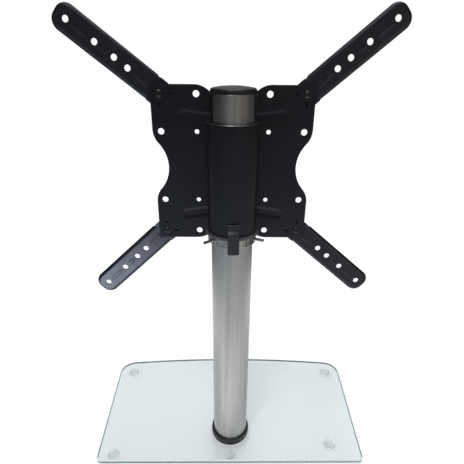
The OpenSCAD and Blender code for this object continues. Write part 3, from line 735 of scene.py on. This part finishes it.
def build_collar_screws():
    """Two long screws on either side of the strip, and a short one that is sunk towards the plate."""
    from_rear, long_one, short_one, mid_z = 6, 18.4, 4.4, (COLLAR_Z0 + COLLAR_Z1) / 2
    meshes = []
    for turn, length in ((-60, long_one), (60, long_one), (180, short_one)):
        a = radians(turn + from_rear - 90)
        out = Vector((cos(a), sin(a), 0))
        m = Vector((0, 0, 1)).rotation_difference(out).to_matrix()
        meshes.append(moved(set_screw(length), m, Vector((0, POLE_Y, mid_z)) + out * (POLE_R + 0.1)))
    piece("collar_set_screws", joined(*meshes), "collar", ["collar_screws"], ZINC, 40)


def build_strip():
    """The strip on the sleeve, joggled out past the bearing ring, with softened edges and bends."""
    thick, wide, corner, soft, turn = 3.0, 8.0, 2.0, 0.45, radians(2)
    top, low, low_r = SLEEVE_Z0 + 20, COLLAR_Z0 - 6, 39.2
    bend_top, bend = SLEEVE_Z0 + 12.6, 6.2
    bend_low = bend_top - bend
    heights = [top, top - 0.15, top - soft, top - 3, bend_top + 0.6]
    heights += list(np.linspace(bend_top, bend_low, 13)) + [bend_low - 2.4, low + 14, low + 6]
    heights += [low + corner * (1 - sin(radians(a))) for a in range(0, 91, 10)]
    rings = []
    for z in heights:
        rounding = min(corner, max(0.0, low + corner - z))
        shrink = soft - min(top - z, z - low, soft)
        half = wide - corner + sqrt(corner ** 2 - rounding ** 2) - shrink
        inner = SLEEVE_R + PLAY + (low_r - SLEEVE_R) * float(smooth((bend_top - z) / bend))
        near, far = inner + shrink * 0.4, inner + thick - shrink
        rear_edge = [(half, far - soft), (half - soft * 0.3, far - soft * 0.3), (half - soft, far)]
        section = [(-half, near + 0.2), (-half + 0.2, near), (half - 0.2, near), (half, near + 0.2)]
        section += rear_edge + [(half * k / 5, far) for k in range(4, -5, -1)]
        section += [(-x, r) for x, r in reversed(rear_edge)]
        rings.append([(x, -sqrt(r * r - x * x), z) for x, r in section])
    piece("stop_strip_bent", moved(loft(rings), Matrix.Rotation(turn, 3, "Z"), ON_POLE), "bracket",
          ["stop_strip"], WORN_COAT, 35)


def weld_section(reach):
    """A weld's outline seen from above, in the wedge between the sleeve and the plate."""
    root, sink, lean, hollow = 5.2, 0.02, 0.9, 0.25
    plate_y = PLATE_Y - POLE_Y - sink

    def sleeve_y(x):
        return sqrt(SLEEVE_R ** 2 - x * x) + sink

    section = [(root, plate_y), (reach + 0.2, plate_y)]
    for share in (0.2, 0.4, 0.6, 0.8):
        x = reach - lean * share
        y = plate_y * (1 - share) + sleeve_y(x) * share
        section.append((x - hollow * sin(pi * share), y))
    return section + [(x, sleeve_y(x)) for x in (reach - lean, 8.0 if reach > 9 else reach - 1.4, root)]


def build_welds():
    """Four stitches of weld metal, with ripples along them and tapering ends."""
    length, steps, ripples, ripple, taper = 32.0, 64, 15, 0.16, 9
    meshes = []
    for side in (-1, 1):
        for z0 in (SLEEVE_Z0 + 8, SLEEVE_Z1 - 40):
            rings = []
            for i in range(steps + 1):
                f = i / steps
                full = min(1.0, f * taper, (1 - f) * taper)
                reach = 7.5 + 3.6 * sqrt(full) + ripple * sin(2 * pi * f * ripples) * full
                rings.append([(side * x, y, z0 + length * f) for x, y in weld_section(reach)])
            meshes.append(moved(loft(rings), shift=ON_POLE))
    piece("sleeve_weld_beads", joined(*meshes), "bracket", ["sleeve_welds"], COAT, 60)


# Plate, arms and pivots

def plate_outline():
    """A square with rounded corners and a scoop in each side, blended into the side."""
    half, scoop, scoop_r, blend_r, corner_r = 112.0, 20.0, 50.5, 30.0, 6.0
    scoop_x, blend_x = half - scoop + scoop_r, half - blend_r
    blend_y = sqrt((scoop_r + blend_r) ** 2 - (scoop_x - blend_x) ** 2)
    turn = degrees(atan2(blend_y, scoop_x - blend_x))
    side = arc(half - corner_r, corner_r - half, corner_r, -90, 0, 10)
    side += arc(blend_x, -blend_y, blend_r, 0, turn, 14)[:-1]
    side += arc(scoop_x, 0, scoop_r, 180 + turn, 180 - turn, 48)[:-1]
    side += arc(blend_x, blend_y, blend_r, -turn, 0, 14)
    out = []
    for quarter in range(4):
        c, s = round(cos(quarter * pi / 2)), round(sin(quarter * pi / 2))
        out += [(x * c - y * s, x * s + y * c) for x, y in side]
    return out


def rib_outline(grow):
    """A bowed rib with round ends, made wider all round by grow."""
    length, width, off, rise = 150.0, 14.0, 66.5, 7.5
    r = ((length / 2) ** 2 + rise ** 2) / (2 * rise)
    cy, turn, half = off + r, degrees(asin((length - width) / 2 / r)), width / 2 + grow
    end_x, end_y = r * sin(radians(turn)), cy - r * cos(radians(turn))
    pts = arc(0, cy, r - half, -90 + turn, -90 - turn, 36)[:-1]
    pts += arc(-end_x, end_y, half, 90 - turn, 270 - turn, 16)[:-1]
    pts += arc(0, cy, r + half, -90 - turn, -90 + turn, 36)[:-1]
    return pts + arc(end_x, end_y, half, turn - 90, turn + 90, 16)[:-1]


def plate_holes():
    """Three patterns of mounting holes, and in each corner a pivot hole with two index slots."""
    small_r, large_r, pivot_r, index_slot = 3.25, 4.5, 3.15, (6.5, 3.5)
    near, far = PATTERN
    holes = []
    for x, y, r, n in ((near, near, small_r, 40), (far, near, large_r, 48), (near, far, large_r, 48)):
        holes += [circle(sx * x, sy * y, r, n) for sx, sy in CORNERS]
    for sx, sy in CORNERS:
        x, y = PIVOT_AT * sx, PIVOT_AT * sy
        holes.append(circle(x, y, pivot_r, 32))
        holes.append(stadium(x - sx * INDEX_AT, y, *index_slot, 0, 8))
        holes.append(stadium(x, y - sy * INDEX_AT, *index_slot, 90, 8))
    return holes


def build_plate():
    """The plate, with two bowed ribs and a small raised pip between the index slots of each corner."""
    rib_grow, rib_height, rib_slope = 1.8, 1.2, 5.2
    pip_r, pip_height, pip_slope = 2.05, -0.75, 1.7
    holes = plate_holes()
    upper = rib_outline(rib_grow)
    ribs = [upper, [(-x, -y) for x, y in upper]]
    pip_at = PIVOT_AT - INDEX_AT * sqrt(0.5)
    pips = [circle(sx * pip_at, sy * pip_at, pip_r, 24) for sx, sy in CORNERS]
    rib_forms = [(rib, rib_height, rib_slope, 5) for rib in ribs]
    lines, pressed = pressings(rib_forms + [(pip, pip_height, pip_slope, 4) for pip in pips])
    grid, clear = range(-84, 85, 12), 2.5
    points = [(x, y) for x in grid for y in grid]
    keep = np.all([depth_in(points, lp) < -clear for lp in ribs + holes], axis=0)
    points = [p for p, k in zip(points, keep) if k]

    def place(xy):
        pos = np.stack([xy[:, 0], PLATE_Y + pressed(xy), PLATE_Z + xy[:, 1]], 1)
        return pos, np.tile([0.0, -1.0, 0.0], (len(xy), 1))

    mesh = sheet(plate_outline(), holes, lines, points, PLATE_T, 0.4, place)
    piece("mounting_plate_pressed", mesh, "bracket", ["vesa_plate"], COAT, 40)


# An arm is laid out along s from its pivot, with u across it. Its rim is rolled over towards the TV.
ARM_HALF, ARM_NOSE, ARM_TIP, RIM_DEPTH = 18.0, 15.0, 158.42, 5.97
ROLL_R, ROLL_START, ROLL_RAMP = ARM_T + 3.0, 8.0, 8.0
ARM_RUN, NOSE_HALF = ARM_TIP - ARM_NOSE, ARM_HALF - ARM_NOSE
ARM_HOLES, ARM_HOLE_R = [at * share for at in PATTERN for share in (1.0, sqrt(2))], 4.25


def arm_core(s, u):
    """The nearest place on the border of the flat part, the way out from it, and the distance past it."""
    root, corner = s < 0, (s > ARM_RUN) & (np.abs(u) > NOSE_HALF)
    end = (s > ARM_RUN) & ~corner
    mid_s = np.where(root, 0.0, np.where(corner | end, ARM_RUN, s))
    mid_u = np.where(corner, np.sign(u) * NOSE_HALF, np.where(end, u, 0.0))
    out = np.stack([s - mid_s, u - mid_u], 1)
    far = np.linalg.norm(out, axis=1)
    out /= np.maximum(far, TINY)[:, None]
    flat = np.where(corner | end, ARM_NOSE, ARM_HALF) - ROLL_R
    edge = np.stack([mid_s, mid_u], 1) + out * flat[:, None]
    return edge, out, far - flat


def rim_bend(s):
    """How far the rim is rolled over: flat round the pivot, then up to a right angle."""
    return pi / 2 * smooth((s - ROLL_START) / ROLL_RAMP)


def rim_reach(s):
    """How wide the rim is in the flat blank."""
    least_cos = 1e-3
    bend = rim_bend(s)
    rolled = smooth(bend / (pi / 2))
    free = ROLL_R * (1 - np.sin(bend)) / np.maximum(np.cos(bend), least_cos)
    return ROLL_R * bend + free * (1 - rolled) + (RIM_DEPTH - ROLL_R) * rolled


def arm_beads():
    """The pressed forms along an arm: one before its first hole, and two between the later ones."""
    start, tip_r, margin, width = 15.5, 2.0, 3.5, 8.0
    tip = ARM_HOLES[0] - ARM_HOLE_R - margin - tip_r
    blunt = [(start + 1.5, 6.4), (start + 0.5, 5.9), (start, 5.0)]
    root = blunt[1:] + [(s, -u) for s, u in reversed(blunt)] + arc(tip, 0, tip_r, -80, 80, 10) + blunt[:1]
    spans = ((78.2, 94.15), (107.45, 133.97))
    later = [stadium((s0 + s1) / 2, 0, s1 - s0, width, 0, 10) for s0, s1 in spans]
    return pressings([(root, 0.55, 3.4, 4)] + [(bead, 0.42, 3.6, 4) for bead in later])


def arm_blank():
    """The flat blank's outline, holes and creases, and the height of what is pressed into it."""
    up = ROLL_START + ROLL_RAMP
    runs = [*np.arange(0, ROLL_START, 2.0), *np.arange(ROLL_START, up, 0.8), *np.arange(up, ARM_RUN, 4.0)]
    path = [(s, -ARM_HALF) for s in runs] + arc(ARM_RUN, -NOSE_HALF, ARM_NOSE, -90, 0, 14) + [(ARM_TIP, 0.0)]
    path += arc(ARM_RUN, NOSE_HALF, ARM_NOSE, 0, 90, 14) + [(s, ARM_HALF) for s in reversed(runs)]
    path = np.array(path + arc(0, 0, ARM_HALF, 90, 270, 40)[1:-1], float)
    edge, out, _ = arm_core(path[:, 0], path[:, 1])
    rim = out * rim_reach(edge[:, 0])[:, None]
    holes = [circle(0, 0, 3.05, 32)] + [circle(s, 0, ARM_HOLE_R, 48) for s in ARM_HOLES]
    creases = [[tuple(p) for p in edge + rim * k / 10] for k in range(9)]
    contours, pressed = arm_beads()
    return [tuple(p) for p in edge + rim], holes, creases + contours, pressed


def build_arm(name):
    """A pressed arm: a flat web whose edge is rolled over towards the TV, all the way round the tip."""
    px, pz, angle = PIVOTS[name]
    cos_a, sin_a = cos(radians(angle)), sin(radians(angle))
    outer, holes, lines, pressed = arm_blank()

    def place(xy):
        edge, out, past = arm_core(xy[:, 0], xy[:, 1])
        past = np.maximum(past, 0.0)
        phi = np.minimum(past / ROLL_R, rim_bend(edge[:, 0]))
        rest = past - ROLL_R * phi
        along = ROLL_R * np.sin(phi) + rest * np.cos(phi)
        flat = np.where((past > 0)[:, None], edge + out * along[:, None], xy)
        drop = ROLL_R * (1 - np.cos(phi)) + rest * np.sin(phi) - pressed(xy)
        lean_s, lean_u = (out * np.sin(phi)[:, None]).T
        s, u = flat.T
        pos = [px + s * cos_a - u * sin_a, ARM_Y + drop, PLATE_Z + pz + s * sin_a + u * cos_a]
        normal = [lean_s * cos_a - lean_u * sin_a, -np.cos(phi), lean_s * sin_a + lean_u * cos_a]
        return np.stack(pos, 1), np.stack(normal, 1)

    mesh = sheet(outer, holes, lines, [], ARM_T, 0.35, place)
    piece(name + "_pressed", mesh, name, [name], COAT, 40)


def button_screw():
    """A button-headed screw along Z, its head's seat at zero, with a hexagon socket and a short thread."""
    n, r, high, shank, flats, end = 48, 5.25, 2.8, 3.0, 4.0, -11.2
    dome = (r * r + high * high) / (2 * high)
    foot, brow = asin((dome - high) / dome), radians(64.5)
    head = [ring_at(shank, 0.0, n), ring_at(r - 0.15, 0.0, n), ring_at(r, 0.18, n)]
    for k in range(1, 9):
        a = foot + (brow - foot) * k / 8
        head.append(ring_at(min(dome * cos(a), r - 0.02 * k), high - dome + dome * sin(a), n))
    top = high - dome + dome * sin(brow)
    head += [ring_at(2.75, top + 0.02, n), hexagon_ring(flats + 0.25, top - 0.02, n)]
    head += [hexagon_ring(flats, top - 0.2, n), hexagon_ring(flats, top - 1.9, n)]
    run = [(1.9, end), (2.4, end + 0.2)] + thread(shank, end + 0.6, end + 8.6, 1.0, 0.34)
    run.append((shank, end + 8.8))
    return loft([ring_at(a, z, n) for a, z in run] + head)


def disc(thick, edge, steps):
    hole, r = 3.1, 7.0
    return lathe(tube(hole, r, 0, thick, [0.1, edge, edge, 0.1], steps), 64)


def hexagon_nut():
    """A low nut with chamfered corners and a chamfered bore."""
    n, flats, face_r, bore, mouth = 72, 10.0, 4.75, 3.08, 3.45
    outline = hexagon_ring(flats, 0, n)
    falls = [(hypot(x, y) - face_r) * tan(radians(30)) for x, y, _ in outline]
    rings = [ring_at(face_r, 0.0, n), [(x, y, fall) for (x, y, _), fall in zip(outline, falls)],
             [(x, y, NUT_H - fall) for (x, y, _), fall in zip(outline, falls)], ring_at(face_r, NUT_H, n)]
    rings += [ring_at(r, z, n) for r, z in ((mouth, NUT_H), (bore, NUT_H - 0.4), (bore, 0.4), (mouth, 0.0))]
    return loft(rings, closed=True)


def build_pivots():
    """What holds each arm, along the screw: its head on the plate, then disc, washer and nut behind."""
    disc_at = PLATE_T + DISC_T
    washer_at = ARM_Y + ARM_T - PLATE_Y + 0.1 + WASHER_T
    nut_at = washer_at + NUT_H
    to_rear = Matrix.Rotation(radians(90), 3, "X")
    fibre, washer = disc(DISC_T, 0.15, 2), disc(WASHER_T, 0.25, 3)
    for name, mesh, back, node, slot, material, sharp in (
            ("pivot_button_screws", button_screw(), 0.0, "pivot_screws", "black_screw", SCREW, 38),
            ("pivot_friction_discs", fibre, disc_at, "friction_washers", "black_fibre", RUBBER, 32),
            ("pivot_flat_washers", washer, washer_at, "pivot_washers", "zinc_steel", ZINC, 32),
            ("pivot_hexagon_nuts", hexagon_nut(), nut_at, "pivot_nuts", "zinc_steel", ZINC, 32)):
        four = [moved(mesh, to_rear, (x, PLATE_Y + back, PLATE_Z + z)) for x, z, _ in PIVOTS.values()]
        piece(name, joined(*four), "bracket", [node], material, sharp)


build_glass()
build_feet()
build_pole()
build_cap()
build_trim_ring()
build_gasket()
build_sleeve()
build_upper_bush()
build_bearing()
build_collar()
build_collar_screws()
build_strip()
build_welds()
build_plate()
build_pivots()
for arm_name in PIVOTS:
    build_arm(arm_name)

# The hidden pieces keep their CAD shapes and only get a material.
for node, material in {"glass_bush": PLASTIC, "clamp_gasket": RUBBER, "clamp_plate": ZINC, "base_bolt": ZINC,
                       "pole_plug": ZINC}.items():
    for s in frame["nodes"][node].material_slots:
        s.material = material


# Studio

def background(tree, out, lit, seen):
    """What camera, glossy and transmitted rays see, and what lights the object."""
    nodes, links = tree.nodes, tree.links
    path = nodes.new("ShaderNodeLightPath")
    a, b = nodes.new("ShaderNodeMath"), nodes.new("ShaderNodeMath")
    for m, x, y in ((a, path.outputs["Is Camera Ray"], path.outputs["Is Glossy Ray"]),
                    (b, a.outputs[0], path.outputs["Is Transmission Ray"])):
        m.operation = "MAXIMUM"
        links.new(x, m.inputs[0])
        links.new(y, m.inputs[1])
    pick = nodes.new("ShaderNodeMixShader")
    links.new(b.outputs[0], pick.inputs[0])
    links.new(lit, pick.inputs[1])
    links.new(seen, pick.inputs[2])
    links.new(pick.outputs[0], out)


def build_world():
    world = bpy.data.worlds.new("studio_world")
    bpy.context.scene.world = world
    world.use_nodes = True
    nodes = world.node_tree.nodes
    nodes.clear()
    out = nodes.new("ShaderNodeOutputWorld")
    lit, seen = nodes.new("ShaderNodeBackground"), nodes.new("ShaderNodeBackground")
    for shader, colour, strength in ((lit, (0.95, 0.975, 1.0, 1), 0.92), (seen, (1, 1, 1, 1), 1.0)):
        shader.inputs["Color"].default_value = colour
        shader.inputs["Strength"].default_value = strength
    background(world.node_tree, out.inputs["Surface"], lit.outputs[0], seen.outputs[0])


def build_floor():
    """A white floor that glows a little where it is seen, so that it ends up as white as the backdrop."""
    radius, below, glow_strength = 60.0, 0.0002, 0.20
    mesh = bpy.data.meshes.new("studio_floor")
    bm = bmesh.new()
    bmesh.ops.create_circle(bm, cap_ends=True, segments=96, radius=radius)
    bm.to_mesh(mesh)
    bm.free()
    floor = bpy.data.objects.new("studio_floor", mesh)
    floor.location.z = -below
    bpy.context.scene.collection.objects.link(floor)
    m = Nodes("studio_floor_white").set(Roughness=0.9, Specular_IOR_Level=0.1)
    m.finish(m.ramp(m.noise(3, detail=2), (0.3, (0.90, 0.905, 0.91)), (0.7, (0.93, 0.935, 0.94))))
    glow = m.add("ShaderNodeEmission")
    glow.inputs["Color"].default_value = (1, 1, 1, 1)
    glow.inputs["Strength"].default_value = glow_strength
    both = m.add("ShaderNodeAddShader")
    m.link(m.bsdf.outputs[0], both.inputs[0])
    m.link(glow.outputs[0], both.inputs[1])
    background(m.tree, m.out.inputs["Surface"], m.bsdf.outputs[0], both.outputs[0])
    mesh.materials.append(m.mat)


def reflected_cloth(name, corners, stops):
    """A dim cloth that only reflections see. A stop has a direction, in degrees from the rear of the stand,
    a level, and how warm it is."""
    data = bpy.data.meshes.new(name)
    data.from_pydata(corners, [], [[i, i + 1, i + 3, i + 2] for i in range(0, len(corners) - 2, 2)])
    obj = bpy.data.objects.new(name, data)
    bpy.context.scene.collection.objects.link(obj)
    m = Nodes(name + "_weave").set(Roughness=0.95, Specular_IOR_Level=0.0)
    split = m.split()
    back = m.add("ShaderNodeMath", operation="MULTIPLY")
    back.inputs[1].default_value = -1.0
    m.link(split["Y"], back.inputs[0])
    turn = m.add("ShaderNodeMath", operation="ARCTAN2")
    m.link(split["X"], turn.inputs[0])
    m.link(back.outputs[0], turn.inputs[1])
    fac = m.span(turn.outputs[0], 0.0, 1.0, -pi, pi)
    folds = m.noise(2.5, (1, 1, 0.15), detail=3)
    tone = m.ramp(fac, *[((turned + 180) / 360, (level * (1 + warm), level, level * (1 - warm)))
                         for turned, level, warm in stops])
    m.finish(m.mix(m.span(folds, 0.0, 0.3), tone, (0.0, 0.0, 0.0)))
    data.materials.append(m.mat)
    obj.visible_camera = obj.visible_diffuse = obj.visible_transmission = obj.visible_shadow = False


def sweep(near, far):
    """Pairs of corners of a band between two circles, each given as its radius and height."""
    steps = 48
    angles = [radians(360 * k / steps - 180) for k in range(steps + 1)]
    return [(r * sin(a), -r * cos(a), z) for a in angles for r, z in (near, far)]


def lamp(name, place, target, size, power, colour=(1, 1, 1)):
    data = bpy.data.lights.new(name, "AREA")
    data.shape = "RECTANGLE"
    data.size, data.size_y = size
    data.energy = power
    data.color = colour
    obj = bpy.data.objects.new(name, data)
    obj.location = place
    obj.rotation_euler = (Vector(target) - Vector(place)).to_track_quat("-Z", "Y").to_euler()
    obj.visible_camera = False
    bpy.context.scene.collection.objects.link(obj)
    return obj


def build_lamps():
    """Soft lights from the camera's side and from above, and three low ones that light only the arms."""
    lamp("key_softbox", (-0.3, -0.95, 2.2), (0, 0, 0.35), (0.6, 1.0), 5.0)
    cool, warm, pale = (0.80, 0.87, 1.0), (1.0, 0.96, 0.92), (0.92, 0.95, 1.0)
    low_lamps = [lamp("low_left_fill", (-0.36, -0.44, 0.07), (-0.19, -0.03, 0.33), (0.30, 0.16), 1.9, cool)]
    for name, side, power, tint in (("right_softbox", 1, 0.9, warm), ("left_softbox", -1, 0.6, pale)):
        place, target = (side * 0.75, -0.72, 0.42), (side * 0.15, -0.02, 0.5)
        low_lamps.append(lamp(name, place, target, (0.25, 0.5), power, tint))
    arms_only = bpy.data.collections.new("lit_by_low_lamps")
    for obj in bpy.context.scene.objects:
        if obj.name.startswith("arm_"):
            arms_only.objects.link(obj)
    for low_lamp in low_lamps:
        low_lamp.light_linking.receiver_collection = arms_only
    lamp("top_softbox", (0.3, 0.5, 2.4), (0, 0, 0.4), (1.4, 1.0), 4.0)


def build_camera():
    """The photo's camera, solved from the plate's holes, the arms and the pole's outline."""
    focal_px, picture_px, sensor = 383.31, 464.0, 36.0
    yaw, pitch, roll = (radians(v) for v in (0.743, 24.207, 0.581))
    from_plate = Vector((-6.79, -545.19, 142.08))
    cam = bpy.data.cameras.new("photo_camera")
    cam.sensor_fit = "HORIZONTAL"
    cam.sensor_width = sensor
    cam.lens = focal_px * sensor / picture_px
    cam.clip_start, cam.clip_end = 0.01, 200.0
    cam_obj = bpy.data.objects.new("photo_camera", cam)
    forward = Vector((sin(yaw) * cos(pitch), cos(yaw) * cos(pitch), -sin(pitch)))
    right = Vector((cos(yaw), -sin(yaw), 0))
    up = right.cross(forward)
    right, up = right * cos(roll) + up * sin(roll), up * cos(roll) - right * sin(roll)
    turn = Matrix((right, up, -forward)).transposed().to_4x4()
    cam_obj.matrix_world = Matrix.Translation((from_plate + Vector((0, PLATE_Y, PLATE_Z))) * MM) @ turn
    bpy.context.scene.collection.objects.link(cam_obj)
    bpy.context.scene.camera = cam_obj


build_world()
build_floor()
reflected_cloth("studio_curtain", sweep((1.5, 0.10), (1.5, 3.2)), [
    (-180, 0.50, 0), (-166, 0.42, 0), (-154, 0.11, 0), (-130, 0.045, 0), (-75, 0.03, 0), (-42, 0.06, 0.16),
    (-22, 0.08, 0.14), (-9, 0.15, 0.10), (3, 0.10, 0.12), (16, 0.22, 0.10), (26, 0.17, 0.12),
    (40, 0.14, 0.13), (62, 0.10, 0.10), (88, 0.05, 0.06), (104, 0.07, 0), (130, 0.05, 0), (154, 0.11, 0),
    (166, 0.42, 0), (180, 0.50, 0)])
reflected_cloth("studio_rug", sweep((0.60, 0.002), (1.52, 0.12)), [
    (-180, 0.3, 0), (-75, 0.27, -0.12), (-32, 0.50, -0.12), (0, 0.43, -0.06), (30, 0.50, 0.02),
    (90, 0.36, 0.08), (180, 0.3, 0)])
build_lamps()
build_camera()
view = bpy.context.scene.view_settings
view.view_transform = "Standard"
